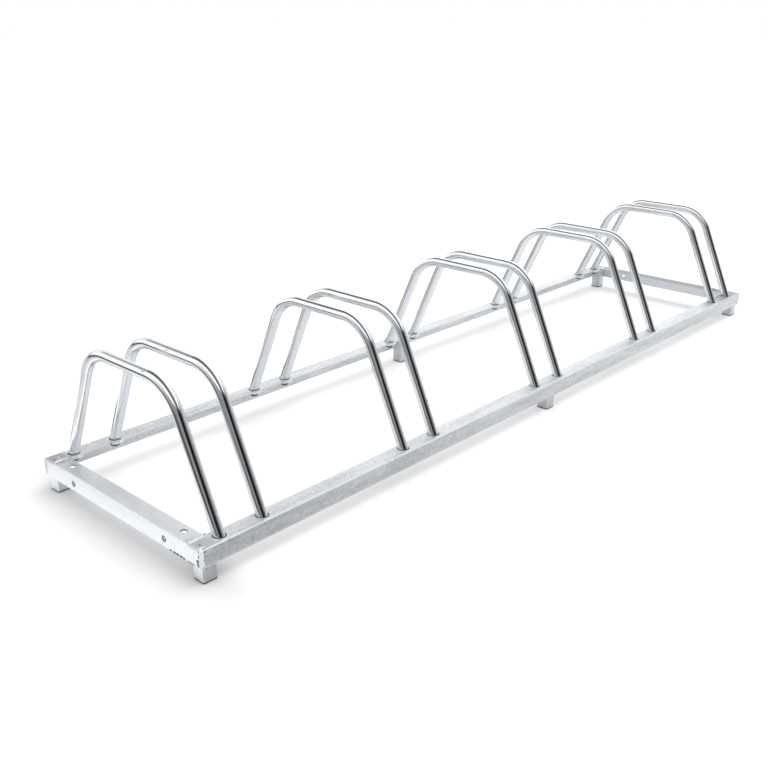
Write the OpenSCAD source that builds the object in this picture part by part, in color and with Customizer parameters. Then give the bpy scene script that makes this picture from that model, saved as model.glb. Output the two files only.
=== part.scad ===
// Floor-standing rack for five bicycles, welded from rolled steel angle and bent tube, galvanised.
// X runs along the rack, Y from front to back, Z up. The origin is on the floor under the middle.

/* [Wheel slots] */
// Distance between the middles of neighbouring wheel slots
slot_pitch = 395; // [340:5:450]
// Distance between the two hoop axes of one wheel slot
slot_gap = 80; // [66:1:100]

/* [Frame] */
// Depth of the frame over the two long rails
frame_w = 430; // [400:5:480]
// Width of each leg of the rolled angle
angle_leg = 30; // [28:1:40]
// Thickness of the rolled angle
angle_t = 3; // [2.5:0.25:4]
// Radius inside the corner of the angle
root_r = 5; // [3:0.5:6]
// Radius on the inner side of each leg's free edge
toe_r = 2.5; // [1:0.25:2.5]
// Radius on the outer corner of the angle
heel_r = 0.8; // [0.4:0.1:1.5]

/* [Hoops] */
// Outer diameter of the hoop tube
tube_d = 18; // [15:0.5:19]
// Wall of the hoop tube
tube_wall = 1.5; // [1:0.25:2.5]
// Height of the hoop's top bar axis above the rail tops
hoop_rise = 208; // [180:1:240]
// Lean of each hoop leg from the upright
lean = 24.5; // [18:0.5:28]
// Radius of each bend, on the tube axis
bend_r = 72; // [50:1:85]
// How much the bending shrinks the tube's diameter along each bend
bend_shrink = 0.1; // [0.05:0.05:0.4]
// How far the tube ends stand out under the rails, on the tube axis
tube_end = 5; // [4:0.5:10]
// Play of the leaning tube in its hole
hole_play = 0.5; // [0.2:0.1:1]
// How far each tube hole cuts into the inside radius of the angle
hole_bite = 2.2; // [0.5:0.1:2.3]

/* [Feet] */
// Width of the square foot tube
foot_w = 25; // [22:0.5:25]
// Wall of the square foot tube
foot_wall = 2; // [1.5:0.25:2.5]
// Outer corner radius of the square foot tube
foot_r = 3; // [2.5:0.25:4]
// How far the foot tube stands out below the frame
foot_drop = 25; // [15:1:60]
// Free space between a corner foot and the first hoop tube
foot_to_hoop = 8; // [7:0.5:30]

/* [Foot glides] */
// Thickness of the glide under the foot tube
glide_t = 2.5; // [2:0.25:6]
// Height of the glide's plug inside the foot tube
plug_h = 14; // [12:0.5:18]
// Wall of the hollow plug
plug_wall = 1.6; // [1.2:0.1:2.2]
// Space between the plug's body and the tube's bore
plug_gap = 0.7; // [0.5:0.1:1]
// Thickness of each sealing rib round the plug
rib_t = 0.9; // [0.6:0.1:1.2]

/* [Bolt holes] */
// Distance from the angle's outer face to the line of its bolt holes
hole_line = 16.5; // [15.5:0.5:18]
// Diameter of the holes in the upright leg of each end rail
side_hole_d = 9; // [6.5:0.5:10]
// Spacing of the two side holes
side_hole_span = 250; // [180:5:300]
// Diameter of the holes in the flat leg of each end rail
top_hole_d = 12; // [9:0.5:13]
// Spacing of the two top holes
top_hole_span = 305; // [240:5:320]

/* [Welds] */
// Leg length of the fillet welds
fillet = 3; // [2:0.25:3.5]
// Height of the butt weld beads above the steel
bead_h = 1; // [0.5:0.1:1.5]
// Width of the butt weld beads
bead_w = 6; // [4.5:0.5:7]

/* [Hidden] */
$fn = 64;

slots = 5;
eps = 0.01;
steel = [0.74, 0.76, 0.77];
weld_grey = [0.66, 0.68, 0.69];
plastic = [0.07, 0.07, 0.075];

// Heights
angle_bottom = glide_t + foot_drop;
rail_top = angle_bottom + angle_leg;
flange_bottom = rail_top - angle_t;

// Places along and across the rack
end_margin = angle_t + foot_w + foot_to_hoop + tube_d / 2;
frame_l = (slots - 1) * slot_pitch + slot_gap + 2 * end_margin;
half_l = frame_l / 2;
half_w = frame_w / 2;
foot_x = half_l - angle_t - foot_w / 2;
foot_y = half_w - angle_t - foot_w / 2;

// Hoop geometry: each leg axis passes its hole at the middle of the flange
hole_z = rail_top - angle_t / 2;
bar_z = rail_top + hoop_rise;
hoop_hole_d = tube_d / cos(lean) + angle_t * tan(lean) + hole_play;
leg_y = half_w - angle_t - root_r - hoop_hole_d / 2 + hole_bite;
corner_y = leg_y - (bar_z - hole_z) * tan(lean);
turn = 90 - lean;
tangent = bend_r * tan(turn / 2);
leg_len = (bar_z - hole_z) / cos(lean) - tangent;
stub = (angle_t / 2 + tube_end) / cos(lean);
bend_lap = 0.5;

function slot_x(slot) = (slot - (slots + 1) / 2) * slot_pitch;
function hoop_x(slot, side) = slot_x(slot) + side * slot_gap / 2;

// Cross-section of the rolled angle: heel at the origin, one leg along +X, the other down
module angle_profile() {
  difference() {
    union() {
      translate([0, -angle_t]) square([angle_leg, angle_t]);
      translate([0, -angle_leg]) square([angle_t, angle_leg]);
      translate([angle_t, -angle_t]) mirror([0, 1]) inside_corner(root_r);
    }
    translate([0, 0]) mirror([0, 1]) inside_corner(heel_r);
    translate([angle_leg, -angle_t]) mirror([1, 0]) inside_corner(toe_r);
    translate([angle_t, -angle_leg]) mirror([1, 0]) inside_corner(toe_r);
  }
}

// Area between two edges that meet at the origin and the arc that touches both
module inside_corner(r) {
  difference() {
    translate([-eps, -eps]) square(r + eps);
    translate([r, r]) circle(r);
  }
}

// The angle along X, outer face at the given depth, length centred
module long_angle() {
  translate([-half_l, -half_w, rail_top]) rotate([90, 0, 90]) linear_extrude(frame_l) angle_profile();
}

// One long rail at the front, drilled for every hoop leg
module long_rail() {
  difference() {
    long_angle();
    for (slot = [1 : slots], side = [-1, 1])
      translate([hoop_x(slot, side), -leg_y, hole_z])
        cylinder(h = 3 * angle_t, d = hoop_hole_d, center = true);
  }
}

module front_rail() {
  color(steel) long_rail();
}

module rear_rail() {
  color(steel) mirror([0, 1, 0]) long_rail();
}

// Space that the front long rail takes up, for the cope at the end rail's end
module cope() {
  translate([-half_l - angle_leg, -half_w, rail_top]) rotate([90, 0, 90])
    linear_extrude(3 * angle_leg) {
      translate([-angle_leg, -angle_t]) square([2 * angle_leg, 2 * angle_t]);
      translate([-angle_leg, -angle_leg * 2]) square([angle_leg + angle_t, angle_leg * 3]);
      translate([angle_t, -angle_t]) mirror([0, 1]) inside_corner(root_r);
    }
  translate([-half_l + angle_t, -half_w - angle_leg, rail_top - 2 * angle_leg])
    cube([2 * angle_leg, 2 * angle_leg, 3 * angle_leg]);
}

// End rail at the left, coped to slide between the long rails and under their flat legs
module end_rail() {
  difference() {
    translate([-half_l, half_w, rail_top]) rotate([90, 0, 0]) linear_extrude(frame_w) angle_profile();
    for (side = [0, 1]) mirror([0, side, 0]) cope();
    for (side = [-1, 1]) {
      translate([-half_l, side * side_hole_span / 2, rail_top - hole_line]) rotate([0, 90, 0])
        cylinder(h = 3 * angle_t, d = side_hole_d, center = true);
      translate([-half_l + hole_line, side * top_hole_span / 2, rail_top])
        cylinder(h = 3 * angle_t, d = top_hole_d, center = true);
    }
  }
}

module left_end_rail() {
  color(steel) end_rail();
}

module right_end_rail() {
  color(steel) mirror([1, 0, 0]) end_rail();
}

// Solid rod that follows the front half of the hoop, from its foot to the middle of the top bar.
// The bend is a little thinner than the straight lengths and starts a short way inside them.
module hoop_rod(r, foot_extra) {
  start = bend_lap / bend_r * 180 / PI;
  translate([0, -leg_y, hole_z]) rotate([-lean, 0, 0]) translate([0, 0, -stub - foot_extra])
    cylinder(h = leg_len + stub + foot_extra, r = r);
  translate([0, tangent - corner_y, bar_z - bend_r]) rotate([90, 0, 90]) rotate([0, 0, 90 - start])
    rotate_extrude(angle = turn + 2 * start) translate([bend_r, 0]) circle(r - bend_shrink / 2);
  translate([0, tangent - corner_y, bar_z]) rotate([-90, 0, 0])
    cylinder(h = corner_y - tangent, r = r);
}

// Whole hoop at its place: a tube bent twice, open at both ends
module hoop(slot, side) {
  color(steel) translate([hoop_x(slot, side), 0, 0]) difference() {
    for (end = [0, 1]) mirror([0, end, 0]) hoop_rod(tube_d / 2, 0);
    for (end = [0, 1]) mirror([0, end, 0]) hoop_rod(tube_d / 2 - tube_wall, 1);
  }
}

// Square with rounded corners, centred
module rounded_square(w, r) {
  square([w, w - 2 * r], center = true);
  square([w - 2 * r, w], center = true);
  for (x = [-1, 1], y = [-1, 1]) translate([x, y] * (w / 2 - r)) circle(r);
}

// Foot tube inside the corner of the front rail, its top edge cut to clear the rail's inner radius
module foot(end, side) {
  color(steel) mirror([0, side, 0]) difference() {
    translate([end * foot_x, -foot_y, glide_t]) linear_extrude(flange_bottom - glide_t) difference() {
      rounded_square(foot_w, foot_r);
      rounded_square(foot_w - 2 * foot_wall, max(foot_r - foot_wall, 0.5));
    }
    translate([end * foot_x - foot_w, -half_w + angle_t, flange_bottom]) rotate([90, 0, 90])
      linear_extrude(2 * foot_w) mirror([0, 1]) inside_corner(root_r);
  }
}

// Outline of the glide's base seen from the side: a flat sole with bevelled edges
module glide_side() {
  bevel = glide_t * 0.4;
  w = foot_w / 2;
  polygon([[-w + bevel, 0], [w - bevel, 0], [w, bevel], [w, glide_t], [-w, glide_t], [-w, bevel]]);
}

// Plastic glide: a base under the foot tube and a hollow plug with sealing ribs inside it
module glide(end, side) {
  bore = foot_w - 2 * foot_wall;
  plug = bore - 2 * plug_gap;
  inner = plug - 2 * plug_wall;
  bore_r = max(foot_r - foot_wall, 0.5);
  ribs = 3;
  color(plastic) translate([end * foot_x, (2 * side - 1) * foot_y, 0]) {
    intersection() {
      linear_extrude(glide_t) rounded_square(foot_w, foot_r);
      rotate([90, 0, 0]) linear_extrude(foot_w, center = true) glide_side();
      rotate([90, 0, 90]) linear_extrude(foot_w, center = true) glide_side();
    }
    difference() {
      union() {
        translate([0, 0, glide_t - eps]) linear_extrude(plug_h + eps) rounded_square(plug, bore_r);
        for (i = [1 : ribs]) translate([0, 0, glide_t + i * plug_h / (ribs + 0.6) - rib_t])
          linear_extrude(rib_t) rounded_square(bore - 0.1, bore_r);
      }
      translate([0, 0, glide_t]) linear_extrude(plug_h + 1) rounded_square(inner, bore_r);
    }
    translate([0, 0, glide_t + plug_h / 2 - eps]) {
      cube([inner + eps, plug_wall, plug_h], center = true);
      cube([plug_wall, inner + eps, plug_h], center = true);
    }
  }
}

// Low round-topped bead along X, its underside flat at the height 0
module bead(length) {
  crown = (bead_w * bead_w / 4 + bead_h * bead_h) / (2 * bead_h);
  intersection() {
    translate([0, 0, bead_h - crown]) rotate([0, 90, 0]) cylinder(h = length, r = crown, center = true, $fn = 128);
    translate([-length / 2, -bead_w / 2, 0]) cube([length, bead_w, bead_h * 2]);
  }
}

// Butt welds at one corner: across the flat legs, and down the seam on the end face
module corner_weld() {
  flat = angle_leg - toe_r - heel_r;
  translate([-half_l + heel_r + flat / 2, -half_w + angle_leg, rail_top]) bead(flat);
  upright = angle_leg - angle_t - heel_r;
  translate([-half_l, -half_w + angle_t + heel_r, angle_bottom + upright / 2 + heel_r])
    rotate([0, -90, 0]) bead(upright);
}

module corner_welds() {
  color(weld_grey) for (end = [0, 1], side = [0, 1])
    mirror([end, 0, 0]) mirror([0, side, 0]) corner_weld();
}

// Fillet weld round one tube end, on the underside of the front rail
module hoop_weld() {
  top_r = hoop_hole_d / 2 + 1.2;
  difference() {
    translate([0, -leg_y, flange_bottom - fillet]) cylinder(h = fillet, r1 = top_r - 1.6, r2 = top_r);
    translate([0, -leg_y, hole_z]) rotate([-lean, 0, 0]) cylinder(h = 8 * fillet, r = tube_d / 2, center = true);
    translate([-angle_leg, -half_w + angle_t, flange_bottom]) rotate([90, 0, 90])
      linear_extrude(2 * angle_leg) mirror([0, 1]) inside_corner(root_r);
  }
}

module front_hoop_welds() {
  color(weld_grey) for (slot = [1 : slots], side = [-1, 1])
    translate([hoop_x(slot, side), 0, 0]) hoop_weld();
}

module rear_hoop_welds() {
  color(weld_grey) mirror([0, 1, 0]) for (slot = [1 : slots], side = [-1, 1])
    translate([hoop_x(slot, side), 0, 0]) hoop_weld();
}

// Fillet under the free edge of an upright leg, against the foot that stands behind it
module edge_fillet() {
  linear_extrude(foot_w - 2 * foot_r, center = true) difference() {
    polygon([[angle_t - toe_r + 0.2, -angle_leg], [angle_t, -angle_leg - fillet],
      [angle_t, toe_r - angle_leg]]);
    angle_profile();
  }
}

// Weld up the rounded corner of a foot, against the inner face of the upright leg
module side_fillet() {
  inner = -0.6 * foot_r;
  linear_extrude(angle_leg - angle_t - root_r - toe_r) difference() {
    polygon([[inner, 0], [fillet, 0], [0, foot_r], [inner, foot_r]]);
    translate([-foot_r, foot_r]) circle(foot_r);
  }
}

// Welds of one foot on the front rail; faces lists the sides that have a fillet
module foot_weld(end, faces) {
  translate([end * foot_x, -half_w, rail_top]) rotate([90, 0, 90]) edge_fillet();
  for (face = faces)
    translate([end * foot_x + face * foot_w / 2, -half_w + angle_t, angle_bottom + toe_r])
      mirror([face < 0 ? 1 : 0, 0, 0]) side_fillet();
}

module foot_welds() {
  color(weld_grey) for (side = [0, 1]) mirror([0, side, 0]) {
    foot_weld(-1, [1]);
    foot_weld(0, [-1, 1]);
    foot_weld(1, [-1]);
    for (end = [0, 1]) mirror([end, 0, 0])
      translate([-half_l, -foot_y, rail_top]) rotate([90, 0, 0]) edge_fillet();
  }
}

front_rail();
rear_rail();
left_end_rail();
right_end_rail();
hoop(1, -1);  // slot_1_left_hoop
hoop(1, 1);  // slot_1_right_hoop
hoop(2, -1);  // slot_2_left_hoop
hoop(2, 1);  // slot_2_right_hoop
hoop(3, -1);  // slot_3_left_hoop
hoop(3, 1);  // slot_3_right_hoop
hoop(4, -1);  // slot_4_left_hoop
hoop(4, 1);  // slot_4_right_hoop
hoop(5, -1);  // slot_5_left_hoop
hoop(5, 1);  // slot_5_right_hoop
foot(-1, 0);  // front_left_foot
foot(0, 0);  // front_middle_foot
foot(1, 0);  // front_right_foot
foot(-1, 1);  // rear_left_foot
foot(0, 1);  // rear_middle_foot
foot(1, 1);  // rear_right_foot
glide(-1, 0);  // front_left_glide
glide(0, 0);  // front_middle_glide
glide(1, 0);  // front_right_glide
glide(-1, 1);  // rear_left_glide
glide(0, 1);  // rear_middle_glide
glide(1, 1);  // rear_right_glide
corner_welds();
front_hoop_welds();
rear_hoop_welds();
foot_welds();
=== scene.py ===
import math

import bpy
from mathutils import Matrix, Vector


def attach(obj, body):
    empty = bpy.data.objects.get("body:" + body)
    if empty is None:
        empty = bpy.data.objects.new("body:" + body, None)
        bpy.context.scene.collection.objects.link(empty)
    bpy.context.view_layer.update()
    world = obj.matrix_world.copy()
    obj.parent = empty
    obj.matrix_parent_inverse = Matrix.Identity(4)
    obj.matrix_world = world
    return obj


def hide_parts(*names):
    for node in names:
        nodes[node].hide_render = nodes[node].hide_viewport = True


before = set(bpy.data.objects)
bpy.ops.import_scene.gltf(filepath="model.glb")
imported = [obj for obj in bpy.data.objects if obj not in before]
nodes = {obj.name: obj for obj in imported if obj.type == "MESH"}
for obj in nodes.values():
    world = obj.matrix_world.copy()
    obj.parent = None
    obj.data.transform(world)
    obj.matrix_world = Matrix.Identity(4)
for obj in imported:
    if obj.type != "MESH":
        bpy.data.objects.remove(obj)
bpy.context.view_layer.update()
print("rack loaded:", len(nodes), "nodes")

scene = bpy.context.scene
scene.view_settings.view_transform = "Standard"


def direction(azimuth, elevation):  # in degrees, from straight in front round to the right, and up
    a, e = math.radians(azimuth), math.radians(elevation)
    return Vector((math.sin(a) * math.cos(e), -math.cos(a) * math.cos(e), math.sin(e)))


# camera, from the fit of the frame's corners, feet and tube bases
photoCamera = {
    "target": (-0.2404, 0.0277, 0.0575),
    "azimuth": -47.098,
    "elevation": 21.763,
    "roll": 0.115,
    "distance": 1.9089,
    "focalPixels": 951.87,
    "picturePixels": 768,
    "sensor": 36,
    "sees": (0.05, 60),
}


def makeCamera(c):
    roll = math.radians(c["roll"])
    back = direction(c["azimuth"], c["elevation"])
    right = Vector((0, 0, 1)).cross(back).normalized()
    up = back.cross(right)
    right, up = right * math.cos(roll) + up * math.sin(roll), up * math.cos(roll) - right * math.sin(roll)
    data = bpy.data.cameras.new("photoCamera")
    data.sensor_fit = "HORIZONTAL"
    data.sensor_width = c["sensor"]
    data.lens = c["focalPixels"] / c["picturePixels"] * c["sensor"]
    data.clip_start, data.clip_end = c["sees"]
    cam = bpy.data.objects.new("photoCamera", data)
    scene.collection.objects.link(cam)
    place = Matrix((right, up, back)).transposed().to_4x4()
    place.translation = Vector(c["target"]) + back * c["distance"]
    cam.matrix_world = place
    scene.camera = cam


makeCamera(photoCamera)
print("camera placed")


# small helpers for node trees: a plain value is typed into its socket, a socket is linked to it
def feed(tree, socket, value):
    if isinstance(value, bpy.types.NodeSocket):
        tree.links.new(value, socket)
    else:
        socket.default_value = value


def addNode(tree, kind, **values):
    n = tree.nodes.new(kind)
    for key, value in values.items():
        if key in n.inputs:
            feed(tree, n.inputs[key], value)
        else:
            setattr(n, key, value)
    return n


def addInOrder(tree, kind, values, **settings):
    n = addNode(tree, kind, **settings)
    for socket, value in zip(n.inputs, values):
        feed(tree, socket, value)
    return n


def addMath(tree, operation, *values):
    return addInOrder(tree, "ShaderNodeMath", values, operation=operation).outputs[0]


def addVectorMath(tree, operation, *values):
    return addInOrder(tree, "ShaderNodeVectorMath", values, operation=operation).outputs["Value"]


def addColourMix(tree, part, a, b, blend="MIX"):
    return addInOrder(tree, "ShaderNodeMixRGB", (part, a, b), blend_type=blend).outputs[0]


def addShaderMix(tree, part, a, b):
    return addInOrder(tree, "ShaderNodeMixShader", (part, a.outputs[0], b.outputs[0]))


def addSpan(tree, value, ends=(0.0, 1.0), to=(0.0, 1.0)):
    limits = zip(("From Min", "From Max", "To Min", "To Max"), (*ends, *to))
    return addNode(tree, "ShaderNodeMapRange", Value=value, **dict(limits)).outputs[0]


def grey(tone):
    return (tone, tone, tone, 1)


def addRamp(tree, value, stops, smooth=False):
    n = addInOrder(tree, "ShaderNodeValToRGB", (value,))
    n.color_ramp.interpolation = "EASE" if smooth else "LINEAR"
    marks = n.color_ramp.elements
    while len(marks) > 1:
        marks.remove(marks[-1])
    for i, (place, tone) in enumerate(stops):
        mark = marks[0] if i == 0 else marks.new(place)
        mark.position = place
        mark.color = grey(tone) if isinstance(tone, (int, float)) else (*tone, 1)
    return n.outputs[0]


def clearTree(tree):
    for n in list(tree.nodes):
        tree.nodes.remove(n)


def startMaterial(name):
    mat = bpy.data.materials.new(name)
    mat.use_nodes = True
    clearTree(mat.node_tree)
    return mat, mat.node_tree


# studio: a white room, dim in front of the rack on its right, with a dark line where the walls meet the ground
# and a dark strip between the lamps that runs from the front over the top and down the back
studio = {
    "wallTones": ((0.0, 1.25), (0.125, 1.25), (0.145, 1.0), (0.17, 0.8), (0.19, 0.62), (0.23, 0.42), (0.29, 0.30),
                  (0.37, 0.34), (0.40, 0.18), (0.44, 0.10), (0.465, 0.055), (0.51, 0.055), (0.55, 0.12), (0.60, 0.30),
                  (0.66, 0.50), (0.70, 0.80), (0.76, 1.1), (0.82, 1.5), (0.88, 1.36), (0.92, 1.22), (0.96, 1.2),
                  (1.0, 1.2)),
    "ceiling": ((0.40, 0.0), (0.64, 1.3)),
    "groundLine": ((0.470, 1.0), (0.492, 0.65), (0.512, 0.65), (0.545, 1.0)),
    "stripAzimuth": 170.0,
    "stripAlong": ((0.25, 0.0), (0.29, 1.0), (0.633, 1.0), (0.65, 0.7), (0.667, 0.45), (0.683, 0.25), (0.708, 0.15),
                   (0.75, 0.0)),
    "stripAcross": ((0.20, 1.0), (0.46, 0.0)),
    "stripDark": 0.90,
    "onMetal": 1.0,
    "onMatte": 0.66,
    "background": 1.0,
}


def makeWorld(s):
    world = bpy.data.worlds.new("studioRoom")
    scene.world = world
    world.use_nodes = True
    tree = world.node_tree
    clearTree(tree)

    def asPart(angle):  # a full turn becomes 0 to 1
        return addMath(tree, "ADD", addMath(tree, "MULTIPLY", angle, 0.5 / math.pi), 0.5)

    def glow(strength):
        return addNode(tree, "ShaderNodeBackground", Color=grey(1), Strength=strength)

    toward = addNode(tree, "ShaderNodeTexCoord").outputs["Generated"]
    x, y, z = addNode(tree, "ShaderNodeSeparateXYZ", Vector=toward).outputs
    around = asPart(addMath(tree, "ARCTAN2", x, addMath(tree, "MULTIPLY", y, -1.0)))
    height = addMath(tree, "ADD", addMath(tree, "MULTIPLY", z, 0.5), 0.5)
    walls = addRamp(tree, around, s["wallTones"])
    lowWalls = addMath(tree, "MULTIPLY", walls, addRamp(tree, height, s["groundLine"]))
    evenRoom = addMath(tree, "MAXIMUM", lowWalls, addRamp(tree, z, s["ceiling"], smooth=True))
    a = math.radians(s["stripAzimuth"])
    backward = addVectorMath(tree, "DOT_PRODUCT", toward, (math.sin(a), -math.cos(a), 0))
    sideways = addVectorMath(tree, "DOT_PRODUCT", toward, (math.cos(a), math.sin(a), 0))
    stripAlong = addRamp(tree, asPart(addMath(tree, "ARCTAN2", backward, z)), s["stripAlong"])
    stripAcross = addRamp(tree, addMath(tree, "ABSOLUTE", sideways), s["stripAcross"])
    strip = addMath(tree, "MULTIPLY", addMath(tree, "MULTIPLY", stripAlong, stripAcross), s["stripDark"])
    room = addMath(tree, "MULTIPLY", evenRoom, addMath(tree, "SUBTRACT", 1.0, strip))
    rays = addNode(tree, "ShaderNodeLightPath").outputs
    onMetal = glow(addMath(tree, "MULTIPLY", room, s["onMetal"]))
    light = addShaderMix(tree, rays["Is Glossy Ray"], glow(s["onMatte"]), onMetal)
    seen = addShaderMix(tree, rays["Is Camera Ray"], light, glow(s["background"]))
    addNode(tree, "ShaderNodeOutputWorld", Surface=seen.outputs[0])


makeWorld(studio)


# two wide soft lamps, high in front and on the right, throw the shadows back and to the left
softLamps = {
    "frontLamp": {"azimuth": 20.0, "elevation": 65.0, "spread": 45.0, "strength": 0.55},
    "rightLamp": {"azimuth": 85.0, "elevation": 66.0, "spread": 45.0, "strength": 0.85},
}


def makeSoftLamp(name, s):
    data = bpy.data.lights.new(name, "SUN")
    data.energy = s["strength"]
    data.angle = math.radians(s["spread"])
    lamp = bpy.data.objects.new(name, data)
    scene.collection.objects.link(lamp)
    lamp.visible_glossy = False  # no bright spot in the metal
    lamp.rotation_euler = direction(s["azimuth"], s["elevation"]).to_track_quat("Z", "Y").to_euler()


for name, s in softLamps.items():
    makeSoftLamp(name, s)


# pale floor, with painted reflections: tones of its own for what the metal mirrors in front of the rack, inside it and
# behind it:
# in each ramp the first number is the place along or across the span, the second the tone
floorLook = {
    "size": 40.0,
    "colour": 0.80,
    "span": (-1.5, 1.5),
    "frontInMetal": ((0.0, 0.05), (0.04, 0.12), (0.08, 0.5), (0.14, 0.85), (0.18, 0.92), (0.21, 0.50),
                     (0.26, 0.52), (0.33, 0.66), (0.45, 0.72), (0.60, 0.85), (0.85, 0.95)),
    "insideInMetal": ((0.0, 0.10), (0.04, 0.2), (0.08, 0.5), (0.14, 0.80), (0.20, 0.85), (0.26, 0.85),
                      (0.45, 0.88), (0.54, 1.0), (0.64, 0.94), (0.72, 0.86), (0.85, 0.92)),
    "behindInMetal": ((0.58, 0.74), (0.61, 0.68), (0.63, 0.60), (0.645, 0.20), (0.685, 0.20), (0.70, 1.0),
                      (0.765, 1.0), (0.795, 0.35)),
    "insideFrom": (-0.19, -0.12),
    "behindFrom": (0.18, 0.24),
    "behindRightOf": (-0.98, -0.90),
    # painted shine: glow that only the metal sees, beside the left end
    "shineInMetal": ((0.160, 0.0), (0.175, 0.2), (0.192, 0.5), (0.205, 0.6), (0.21, 0.0)),
    "glow": 0.27,
    # painted shadow: the glow the camera sees is lowered beside the left end rail
    "paintedShadowBeside": ((0.167, 0.0), (0.183, 0.15), (0.193, 0.33), (0.201, 0.53), (0.209, 0.75), (0.216, 1.0), (0.233, 0.0)),
    "paintedShadowAcross": ((0.39, 0.0), (0.433, 1.0), (0.573, 1.0), (0.61, 0.0)),
    "paintedShadowDepth": 0.30,
    "backSpan": (-0.2, 0.3),
    "backGlow": 0.05,
}


def makeFloor(s):
    bpy.ops.object.select_all(action="DESELECT")
    bpy.ops.mesh.primitive_plane_add(size=s["size"], location=(0, 0, 0))
    floor = bpy.context.object
    floor.name = "floor"
    mat, tree = startMaterial("paleFloor")
    place = addNode(tree, "ShaderNodeTexCoord").outputs["Object"]
    x, y = addNode(tree, "ShaderNodeSeparateXYZ", Vector=place).outputs[:2]
    along, across = addSpan(tree, x, s["span"]), addSpan(tree, y, s["span"])
    rays = addNode(tree, "ShaderNodeLightPath").outputs
    front, inside = addRamp(tree, along, s["frontInMetal"]), addRamp(tree, along, s["insideInMetal"])
    nearer = addColourMix(tree, addSpan(tree, y, s["insideFrom"]), front, inside)
    behind = addMath(tree, "MULTIPLY", addSpan(tree, y, s["behindFrom"]), addSpan(tree, x, s["behindRightOf"]))
    inMetal = addColourMix(tree, behind, nearer, addRamp(tree, across, s["behindInMetal"]))
    colour = addColourMix(tree, rays["Is Glossy Ray"], grey(s["colour"]), inMetal)
    matte = addNode(tree, "ShaderNodeBsdfDiffuse", Color=colour)
    # painted shadow beside the left end rail, taken off the floor's glow
    paintedShadow = addMath(tree, "MULTIPLY", addRamp(tree, along, s["paintedShadowBeside"]), addRamp(tree, across, s["paintedShadowAcross"]))
    glow = addMath(tree, "SUBTRACT", s["glow"], addMath(tree, "MULTIPLY", paintedShadow, s["paintedShadowDepth"]))
    paler = addMath(tree, "MULTIPLY_ADD", addSpan(tree, y, s["backSpan"]), s["backGlow"], glow)
    toCamera = addMath(tree, "MULTIPLY", paler, rays["Is Camera Ray"])
    # painted shine beside the left end, seen only in the metal
    toMetal = addMath(tree, "MULTIPLY", addRamp(tree, along, s["shineInMetal"]), rays["Is Glossy Ray"])
    light = addNode(tree, "ShaderNodeEmission", Color=grey(1), Strength=addMath(tree, "ADD", toCamera, toMetal))
    both = addInOrder(tree, "ShaderNodeAddShader", (matte.outputs[0], light.outputs[0]))
    addNode(tree, "ShaderNodeOutputMaterial", Surface=both.outputs[0])
    floor.data.materials.append(mat)


makeFloor(floorLook)
print("studio ready")


# the rack's own measures in metres, as in its drawing; a tube's axis is tubeLine from the middle at tubeLevel
rack = {"halfLength": 0.875, "halfWidth": 0.215, "railTop": 0.0575, "legWidth": 0.030, "slotPitch": 0.395,
        "slotGap": 0.080, "tubeLine": 0.198376, "tubeLevel": 0.056, "tubeLean": 24.5, "holeLine": 0.0165}
tubeColumns = [(slot - 2) * rack["slotPitch"] + side * rack["slotGap"] / 2 for slot in range(5) for side in (-1, 1)]

# tops of the long rails and end rails darkened round these points: dulled by the welding heat at the left corners,
# painted shade at the right end; x, y, reach and tone
weldHeatAndShade = ((-0.866, 0.197, 0.034, 0.70), (-0.868, -0.196, 0.030, 0.82), (0.868, 0.0, 0.30, 0.42),
            (0.868, -0.2, 0.13, 0.72))

# galvanised steel: a bluish grey zinc skin with flecks, clouds drawn out along the steel and a fine grain
zincFinishes = {
    "longAngle": {"tones": (0.66, 0.92), "fleck": 550.0, "cloud": (9.0, 50.0, 70.0), "rough": (0.40, 0.58),
                  "bump": 0.14, "grain": 0.0005, "edge": 0.0044, "heatAndShade": weldHeatAndShade},
    "endAngle": {"tones": (0.80, 0.92), "fleck": 550.0, "cloud": (40.0, 9.0, 55.0), "rough": (0.40, 0.58),
                 "bump": 0.12, "grain": 0.0005, "edge": 0.0024, "heatAndShade": weldHeatAndShade},
    "hoopTube": {"tones": (0.78, 0.88), "fleck": 700.0, "cloud": (18.0, 18.0, 9.0), "rough": (0.05, 0.13),
                 "bump": 0.08, "grain": 0.0004},
    "squareTube": {"tones": (0.66, 0.84), "fleck": 800.0, "cloud": (40.0, 40.0, 15.0), "rough": (0.36, 0.55),
                   "bump": 0.15, "grain": 0.0005, "edge": 0.0010},
    "weldMetal": {"tones": (0.64, 0.84), "fleck": 1400.0, "cloud": (90.0, 90.0, 90.0), "rough": (0.30, 0.55),
                  "bump": 0.35, "grain": 0.0008, "edge": 0.0010},
    # beads: near-white and barely metallic, a painted highlight on the real weld and zinc lumps
    "beadAndHighlight": {"tones": (0.86, 1.0), "fleck": 1400.0, "cloud": (160.0, 160.0, 160.0), "rough": (0.30, 0.50),
                 "bump": 0.25, "grain": 0.0006, "metal": 0.2},
}
# what they share: how much clouds, grain and flecks count, and the painted highlight on rounded edges: white and barely
# metallic
zincSkin = {
    "tint": (0.965, 1.0, 1.035),
    "cloudPart": 0.55, "grainPart": 0.3, "fleckPart": 0.15,
    "tonesFrom": (0.38, 0.60), "roughFrom": (0.25, 0.75), "grainInBump": 0.35,
    "metal": 1.0,
    "edge": 0, "edgeSamples": 6, "edgeHighlightFrom": (0.998, 0.965), "edgeHighlightTone": 1.0, "edgeHighlightMetal": 0.10,
    "heatAndShade": (), "heatAndShadeFade": 0.35, "topFrom": (0.7, 0.9),
}


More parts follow.
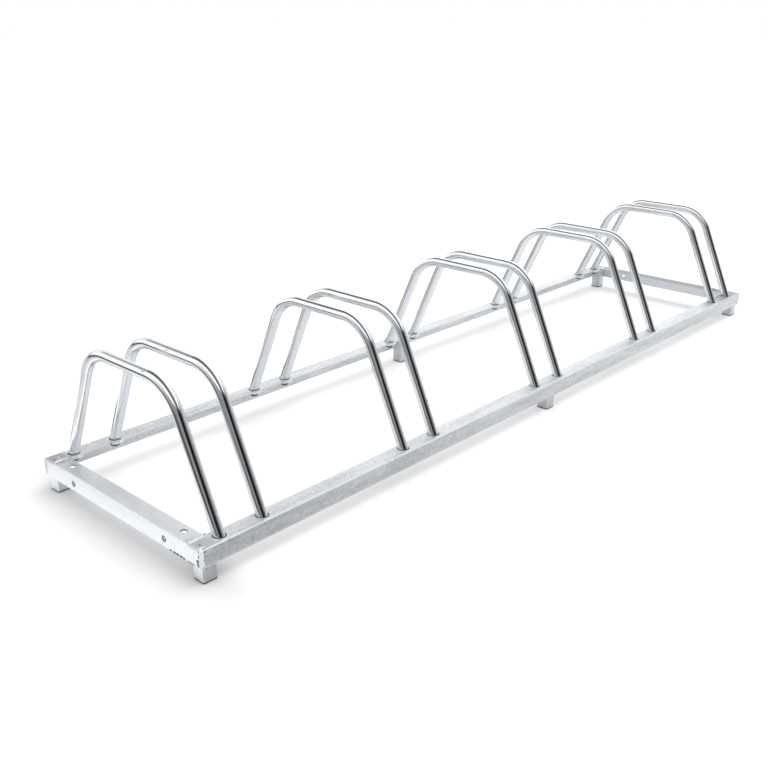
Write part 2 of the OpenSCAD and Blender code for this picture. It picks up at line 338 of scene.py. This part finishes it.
def makeZinc(name, s):
    mat, tree = startMaterial(name)
    place = addNode(tree, "ShaderNodeTexCoord").outputs["Object"]
    drawnOut = addNode(tree, "ShaderNodeMapping", Vector=place, Scale=s["cloud"]).outputs[0]
    clouds = addNode(tree, "ShaderNodeTexNoise", Vector=drawnOut, Scale=1.0, Detail=5.0, Roughness=0.6).outputs["Fac"]
    grain = addNode(tree, "ShaderNodeTexNoise", Vector=place, Scale=s["fleck"], Detail=3.0).outputs["Fac"]
    flecks = addNode(tree, "ShaderNodeTexVoronoi", Vector=place, Scale=s["fleck"] / 2).outputs["Color"]
    fleckTone = addNode(tree, "ShaderNodeSeparateColor", Color=flecks).outputs[0]
    fine = addMath(tree, "MULTIPLY_ADD", fleckTone, s["fleckPart"], addMath(tree, "MULTIPLY", grain, s["grainPart"]))
    mottle = addMath(tree, "MULTIPLY_ADD", clouds, s["cloudPart"], fine)
    stops = [(at, [tone * t for t in s["tint"]]) for at, tone in zip(s["tonesFrom"], s["tones"])]
    colour = addRamp(tree, mottle, stops)
    height = addMath(tree, "ADD", clouds, addMath(tree, "MULTIPLY", grain, s["grainInBump"]))
    bump = addNode(tree, "ShaderNodeBump", Height=height, Strength=s["bump"], Distance=s["grain"])
    metal = s["metal"]
    # the bevel rounds the edges' shading; on them a painted highlight turns the colour white and the metal low
    if s["edge"]:
        rounded = addNode(tree, "ShaderNodeBevel", Radius=s["edge"], samples=s["edgeSamples"]).outputs[0]
        feed(tree, bump.inputs["Normal"], rounded)
        ownNormal = addNode(tree, "ShaderNodeNewGeometry").outputs["Normal"]
        onEdgeHighlight = addSpan(tree, addVectorMath(tree, "DOT_PRODUCT", rounded, ownNormal), s["edgeHighlightFrom"])
        colour = addColourMix(tree, onEdgeHighlight, colour, (*(s["edgeHighlightTone"] * t for t in s["tint"]), 1))
        metal = addSpan(tree, onEdgeHighlight, to=(s["metal"], s["edgeHighlightMetal"]))
    # tops darkened round given points: welding heat at the left end, painted shade at the right end
    if s["heatAndShade"]:
        faces = addNode(tree, "ShaderNodeNewGeometry").outputs["Normal"]
        onTop = addSpan(tree, addNode(tree, "ShaderNodeSeparateXYZ", Vector=faces).outputs["Z"], s["topFrom"])
        for x, y, reach, darkerTone in s["heatAndShade"]:
            away = addVectorMath(tree, "DISTANCE", place, (x, y, rack["railTop"]))
            uneven = addMath(tree, "MULTIPLY_ADD", clouds, -reach, away)
            near = addMath(tree, "MULTIPLY", onTop, addSpan(tree, uneven, (s["heatAndShadeFade"] * reach, 0.0)))
            colour = addColourMix(tree, near, colour, grey(darkerTone), "MULTIPLY")
    rough = addSpan(tree, mottle, s["roughFrom"], s["rough"])
    skin = addNode(tree, "ShaderNodeBsdfPrincipled", Metallic=metal, Roughness=rough, Normal=bump.outputs[0])
    feed(tree, skin.inputs["Base Color"], colour)
    addNode(tree, "ShaderNodeOutputMaterial", Surface=skin.outputs[0])
    return mat


# black glide plastic, and a dark finish for flux spots and for painted shade round the tube ends, in the tube gaps and
# on the holes' rims
darkFinishes = {
    "glidePlastic": {"tones": (0.012, 0.05), "rough": (0.48, 0.73), "scuffs": 220.0},
    "fluxAndShade": {"tones": (0.045, 0.28), "rough": (0.55, 0.80), "scuffs": 900.0},
}
darkSkin = {"tonesFrom": (0.45, 0.8), "bump": 0.2, "grain": 0.0003}


def makeDarkFinish(name, s):
    mat, tree = startMaterial(name)
    place = addNode(tree, "ShaderNodeTexCoord").outputs["Object"]
    scuffs = addNode(tree, "ShaderNodeTexNoise", Vector=place, Scale=s["scuffs"], Detail=6.0, Roughness=0.7)
    worn = scuffs.outputs["Fac"]
    bump = addNode(tree, "ShaderNodeBump", Height=worn, Strength=s["bump"], Distance=s["grain"])
    rough = addSpan(tree, worn, to=s["rough"])
    skin = addNode(tree, "ShaderNodeBsdfPrincipled", Roughness=rough, Normal=bump.outputs[0])
    feed(tree, skin.inputs["Base Color"], addRamp(tree, worn, zip(s["tonesFrom"], s["tones"])))
    addNode(tree, "ShaderNodeOutputMaterial", Surface=skin.outputs[0])
    return mat


finishes = {name: makeZinc(name, {**zincSkin, **s}) for name, s in zincFinishes.items()}
finishes.update({name: makeDarkFinish(name, {**darkSkin, **s}) for name, s in darkFinishes.items()})
finishByEnding = {"_end_rail": "endAngle", "_rail": "longAngle", "_hoop": "hoopTube", "_foot": "squareTube",
                  "_glide": "glidePlastic", "_welds": "weldMetal"}


def finishOf(name):
    for ending, finish in finishByEnding.items():
        if name.endswith(ending):
            return finishes[finish]


for name, obj in nodes.items():
    for slot in obj.material_slots:
        slot.material = finishOf(name)
print("finishes given to", len(nodes), "nodes")


# new pieces: a shape is modelled once near the origin, copied to its places and joined into one mesh
def selectOnly(*pieces):
    bpy.ops.object.select_all(action="DESELECT")
    for piece in pieces:
        piece.select_set(True)
    bpy.context.view_layer.objects.active = pieces[0]


def startShape(primitive, **values):
    bpy.ops.object.select_all(action="DESELECT")
    primitive(location=(0, 0, 0), **values)
    return bpy.context.object


def inEditMode(operator, **values):  # acts on the whole of the active shape
    bpy.ops.object.mode_set(mode="EDIT")
    bpy.ops.mesh.select_all(action="SELECT")
    operator(**values)
    bpy.ops.object.mode_set(mode="OBJECT")


def applyModifier(piece, kind, **values):
    m = piece.modifiers.new(kind, kind)
    for key, value in values.items():
        setattr(m, key, value)
    selectOnly(piece)
    bpy.ops.object.modifier_apply(modifier=m.name)


def meltTogether(piece, voxel):
    applyModifier(piece, "REMESH", mode="VOXEL", voxel_size=voxel)
    applyModifier(piece, "SMOOTH", factor=0.5, iterations=3)


def startRing(radius, thickness, squash, sides=60, around=12):
    ring = startShape(bpy.ops.mesh.primitive_torus_add, major_radius=radius, minor_radius=thickness,
                      major_segments=sides, minor_segments=around)
    inEditMode(bpy.ops.transform.resize, value=squash)
    return ring


def placed(x, y, z, turn=0.0, tilt=0.0, size=(1, 1, 1)):
    return (Matrix.Translation((x, y, z)) @ Matrix.Rotation(math.radians(turn), 4, "Z")
            @ Matrix.Rotation(math.radians(tilt), 4, "Y") @ Matrix.Diagonal((*size, 1)))


def copyTo(piece, name, places):
    copies = [piece] + [piece.copy() for p in places[1:]]
    for twin, place in zip(copies, places):
        if twin is not piece:
            twin.data = piece.data.copy()
            scene.collection.objects.link(twin)
        twin.matrix_world = place
    selectOnly(*copies)
    bpy.ops.object.join()
    piece.name = piece.data.name = name
    bpy.ops.object.transform_apply(location=True, rotation=True, scale=True)
    return piece


def finishPiece(piece, finish, lumpSize, lumpHeight):
    lumps = bpy.data.textures.new(piece.name + "Lumps", "CLOUDS")
    lumps.noise_scale = lumpSize
    applyModifier(piece, "DISPLACE", texture=lumps, strength=lumpHeight, mid_level=0.5, texture_coords="GLOBAL")
    bpy.ops.object.shade_smooth()
    piece.data.materials.clear()
    piece.data.materials.append(finishes[finish])
    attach(piece, "root")


# rippled weld beads at the four corners: one across each top, one down each upright corner
cornerBead = {"length": 0.0265, "ripple": 0.0026, "radius": 0.0030, "squash": (0.85, 1.0, 0.55),
              "cornerInset": 0.0014, "uprightDown": 0.0010, "uprightSize": (1.0, 1.3, 1.5), "voxel": 0.0004,
              "lumpSize": 0.0035, "lumpHeight": 0.0024}


def makeCornerBeads(s):
    r = rack
    bead = startShape(bpy.ops.mesh.primitive_uv_sphere_add, segments=20, ring_count=12, radius=s["radius"])
    inEditMode(bpy.ops.transform.resize, value=s["squash"])
    applyModifier(bead, "ARRAY", count=int(s["length"] / s["ripple"]), use_relative_offset=False,
                  use_constant_offset=True, constant_offset_displace=(s["ripple"], 0, 0))
    meltTogether(bead, s["voxel"])
    inset = r["halfLength"] - s["radius"]
    places = []
    for end in (-1, 1):
        for side in (-1, 1):
            first = -inset if end < 0 else inset - s["length"] + s["ripple"]
            places.append(placed(first, side * (r["halfWidth"] - r["legWidth"]), r["railTop"]))
            places.append(placed(end * (r["halfLength"] - s["cornerInset"]), side * (r["halfWidth"] - s["cornerInset"]),
                                 r["railTop"] - s["uprightDown"], turn=math.degrees(math.atan2(side, end)), tilt=90,
                                 size=s["uprightSize"]))
    piece = copyTo(bead, "cornerBeads", places)
    finishPiece(piece, "beadAndHighlight", s["lumpSize"], s["lumpHeight"])
    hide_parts("corner_welds")


makeCornerBeads(cornerBead)


# tube ends under the long rails, on the side that faces into the rack: a lumpy half ring of weld and zinc, white as a
# painted highlight, and a dark ring round the rim below it, painted shade under the tube end; down is the way along the
# tube, and leaning 1 turns a ring with it
tubeEnd = {
    "rings": {
        "tubeEndWelds": {"radius": 0.0148, "thickness": 0.0025, "down": 0.0028, "leaning": 0.0, "finish": "beadAndHighlight"},
        "tubeEndShadeRing": {"radius": 0.0088, "thickness": 0.0017, "down": 0.0082, "leaning": 1.0, "finish": "fluxAndShade"},
    },
    "squash": (1, 1, 1.1), "keepTo": -0.004, "voxel": 0.0006, "lumpSize": 0.005, "lumpHeight": 0.0014,
}


def makeTubeEnds(s):
    lean = math.radians(rack["tubeLean"])
    for name, ring in s["rings"].items():
        half = startRing(ring["radius"], ring["thickness"], s["squash"])
        inEditMode(bpy.ops.mesh.bisect, plane_co=(0, s["keepTo"], 0), plane_no=(0, 1, 0), use_fill=True,
                   clear_outer=True)
        meltTogether(half, s["voxel"])
        outward, level = ring["down"] * math.sin(lean), rack["tubeLevel"] - ring["down"] * math.cos(lean)
        leaning = Matrix.Rotation(lean * ring["leaning"], 4, "X")
        places = [placed(x, side * (rack["tubeLine"] + outward), level, turn=90 - 90 * side) @ leaning
                  for side in (-1, 1) for x in tubeColumns]
        finishPiece(copyTo(half, name, places), ring["finish"], s["lumpSize"], s["lumpHeight"])


makeTubeEnds(tubeEnd)


# a dark ring in the gap between each leaning tube and its hole: painted shade in the gap
holeGapShade = {"along": 0.0093, "across": 0.0101, "thickness": 0.0007, "flat": 0.6, "inward": 0.0007,
            "level": 0.0573, "lumpSize": 0.004, "lumpHeight": 0.0007}


def makeHoleGapShade(s):
    ring = startRing(s["along"], s["thickness"], (1, s["across"] / s["along"], s["flat"]))
    places = [placed(x, side * (rack["tubeLine"] - s["inward"]), s["level"]) for side in (-1, 1) for x in tubeColumns]
    finishPiece(copyTo(ring, "holeGapShade", places), "fluxAndShade", s["lumpSize"], s["lumpHeight"])


makeHoleGapShade(holeGapShade)


# dark rings round the bolt holes in both end rails: painted shade on the holes' rims
holeRimShade = {"thickness": 0.0006, "squash": (1, 1, 0.7), "sides": 48, "around": 8, "sideRadius": 0.0046,
               "sideSpan": 0.250, "topRadius": 0.0060, "topSpan": 0.305, "topInset": 0.0004, "lumpSize": 0.003,
               "lumpHeight": 0.0006}


def makeHoleRimShade(s):
    r = rack
    corners = [(end, side) for end in (-1, 1) for side in (-1, 1)]
    sidePlaces = [placed(end * r["halfLength"], side * s["sideSpan"] / 2, r["railTop"] - r["holeLine"], tilt=90)
                  for end, side in corners]
    topPlaces = [placed(end * (r["halfLength"] - r["holeLine"]), side * s["topSpan"] / 2, r["railTop"] - s["topInset"])
                 for end, side in corners]
    rings = [copyTo(startRing(s[radius], s["thickness"], s["squash"], s["sides"], s["around"]), name, places)
             for name, radius, places in (("sideHoleRimShade", "sideRadius", sidePlaces),
                                          ("topHoleRimShade", "topRadius", topPlaces))]
    for ring in rings:
        finishPiece(ring, "fluxAndShade", s["lumpSize"], s["lumpHeight"])


makeHoleRimShade(holeRimShade)
print("corner beads, tube ends and dark hole edges made")


# small marks: flux spots and drops of the zinc bath, with painted shadow beside the corner bead, painted dark
# reflection on the front-left foot's corner and a painted highlight along the front rail's top edge; (x, y, z) of the
# middle, then the length along x, y and z
marksAndPaintedLight = {
    "darkAndShade": [(-0.8752, -0.1403, 0.0283, 0.0014, 0.0060, 0.0020), (-0.8752, -0.1492, 0.0284, 0.0014, 0.0072, 0.0028),
             (-0.8752, -0.1570, 0.0283, 0.0014, 0.0068, 0.0030), (-0.8752, -0.1652, 0.0283, 0.0014, 0.0066, 0.0026),
             (-0.8752, -0.1722, 0.0281, 0.0014, 0.0060, 0.0018), (-0.8750, -0.1900, 0.0278, 0.0010, 0.0180, 0.0012),
             (-0.8754, -0.2058, 0.0345, 0.0014, 0.0022, 0.0100), (-0.8752, -0.2032, 0.0372, 0.0012, 0.0030, 0.0022),
             (-0.8752, -0.2075, 0.0302, 0.0012, 0.0024, 0.0034), (-0.8754, -0.2090, 0.0540, 0.0014, 0.0018, 0.0034),
             (-0.8754, -0.2086, 0.0462, 0.0012, 0.0014, 0.0050), (-0.8754, -0.2088, 0.0400, 0.0012, 0.0014, 0.0036),
             (-0.8694, -0.2154, 0.0545, 0.0022, 0.0012, 0.0044), (-0.8700, -0.2154, 0.0480, 0.0018, 0.0012, 0.0046),
             (-0.8702, -0.2154, 0.0400, 0.0014, 0.0010, 0.0034), (-0.8700, -0.2120, 0.0574, 0.0050, 0.0030, 0.0008),
             (-0.8427, -0.1812, 0.0575, 0.0044, 0.0030, 0.0008), (-0.8658, -0.1994, 0.0575, 0.0046, 0.0026, 0.0006),
             (-0.8271, -0.2065, 0.0575, 0.0026, 0.0020, 0.0005), (-0.8390, -0.1939, 0.0575, 0.0030, 0.0022, 0.0005),
             (-0.8674, 0.1972, 0.0575, 0.0040, 0.0026, 0.0005), (-0.8540, 0.1985, 0.0575, 0.0030, 0.0024, 0.0005),
             (-0.7660, 0.1850, 0.0552, 0.0032, 0.0008, 0.0026), (-0.8705, -0.2120, 0.0240, 0.0018, 0.0012, 0.0018),
             (-0.8655, -0.2120, 0.0236, 0.0020, 0.0010, 0.0016), (-0.8712, -0.2112, 0.0140, 0.0010, 0.0010, 0.0200),
             (-0.7560, 0.0020, 0.2716, 0.0010, 0.0120, 0.0010), (-0.7580, 0.0060, 0.2697, 0.0010, 0.0090, 0.0010),
             (-0.8367, -0.0500, 0.2719, 0.0010, 0.0060, 0.0012)],
    "brightAndHighlight": [(-0.8600, -0.2146, 0.0566, 0.0260, 0.0024, 0.0030), (-0.8380, -0.2148, 0.0566, 0.0240, 0.0020, 0.0026),
               (-0.8140, -0.2148, 0.0566, 0.0300, 0.0018, 0.0022), (-0.8690, -0.2085, 0.0573, 0.0110, 0.0044, 0.0016),
               (-0.8555, -0.1862, 0.0574, 0.0060, 0.0050, 0.0020), (-0.8340, -0.1828, 0.0566, 0.0130, 0.0040, 0.0022),
               (-0.8620, 0.1900, 0.0575, 0.0110, 0.0026, 0.0014), (-0.8535, 0.1846, 0.0575, 0.0160, 0.0030, 0.0016),
               (-0.8570, 0.1972, 0.0575, 0.0026, 0.0100, 0.0014), (-0.8400, 0.2050, 0.0575, 0.0070, 0.0030, 0.0012),
               (-0.8700, -0.2124, 0.0262, 0.0060, 0.0024, 0.0040), (-0.8752, -0.2128, 0.0500, 0.0026, 0.0044, 0.0120),
               (-0.8750, -0.2128, 0.0400, 0.0024, 0.0040, 0.0130), (-0.8730, -0.2130, 0.0574, 0.0060, 0.0050, 0.0022)],
    # drops on the front legs: hoop from 0 at the left, height, place round the tube in degrees from +x to the front
    "darkDrops": [(2, 0.1640, 30), (2, 0.1080, 28), (3, 0.1120, 62), (3, 0.0940, 18), (4, 0.0900, 50)],
    "brightDrops": [(2, 0.1655, 40), (2, 0.1045, 40), (2, 0.1120, 22), (3, 0.1155, 66), (3, 0.0975, 28),
                    (3, 0.1050, 50), (0, 0.0840, 60), (1, 0.1300, 24)],
    "dropSize": (0.0014, 0.0022, 0.0042), "tubeRadius": 0.0088,
    "uneven": 0.05, "seed": 7, "lumpSize": 0.002, "lumpHeight": 0.0003,
}


def makeMarksAndPaintedLight(s):
    lean = math.radians(rack["tubeLean"])
    legTurn = Matrix.Rotation(-lean, 4, "X")
    # dark marks: flux spots and painted shade; bright marks: zinc lumps and painted highlights
    for name, flat, drops, finish in (("fluxAndShadeMarks", "darkAndShade", "darkDrops", "fluxAndShade"),
                                      ("zincAndHighlightMarks", "brightAndHighlight", "brightDrops", "beadAndHighlight")):
        mark = startShape(bpy.ops.mesh.primitive_ico_sphere_add, subdivisions=3, radius=0.5)
        inEditMode(bpy.ops.transform.vertex_random, offset=s["uneven"], uniform=0.0, normal=1.0, seed=s["seed"])
        places = [placed(x, y, z, size=size) for x, y, z, *size in s[flat]]
        for hoop, height, around in s[drops]:
            back = (height - rack["tubeLevel"]) * math.tan(lean)
            onAxis = Matrix.Translation((tubeColumns[hoop], back - rack["tubeLine"], height))
            out = Matrix.Rotation(math.radians(-around), 4, "Z") @ Matrix.Translation((s["tubeRadius"], 0, 0))
            places.append(onAxis @ legTurn @ out @ Matrix.Diagonal((*s["dropSize"], 1)))
        finishPiece(copyTo(mark, name, places), finish, s["lumpSize"], s["lumpHeight"])


makeMarksAndPaintedLight(marksAndPaintedLight)
print("marks of the zinc bath made")
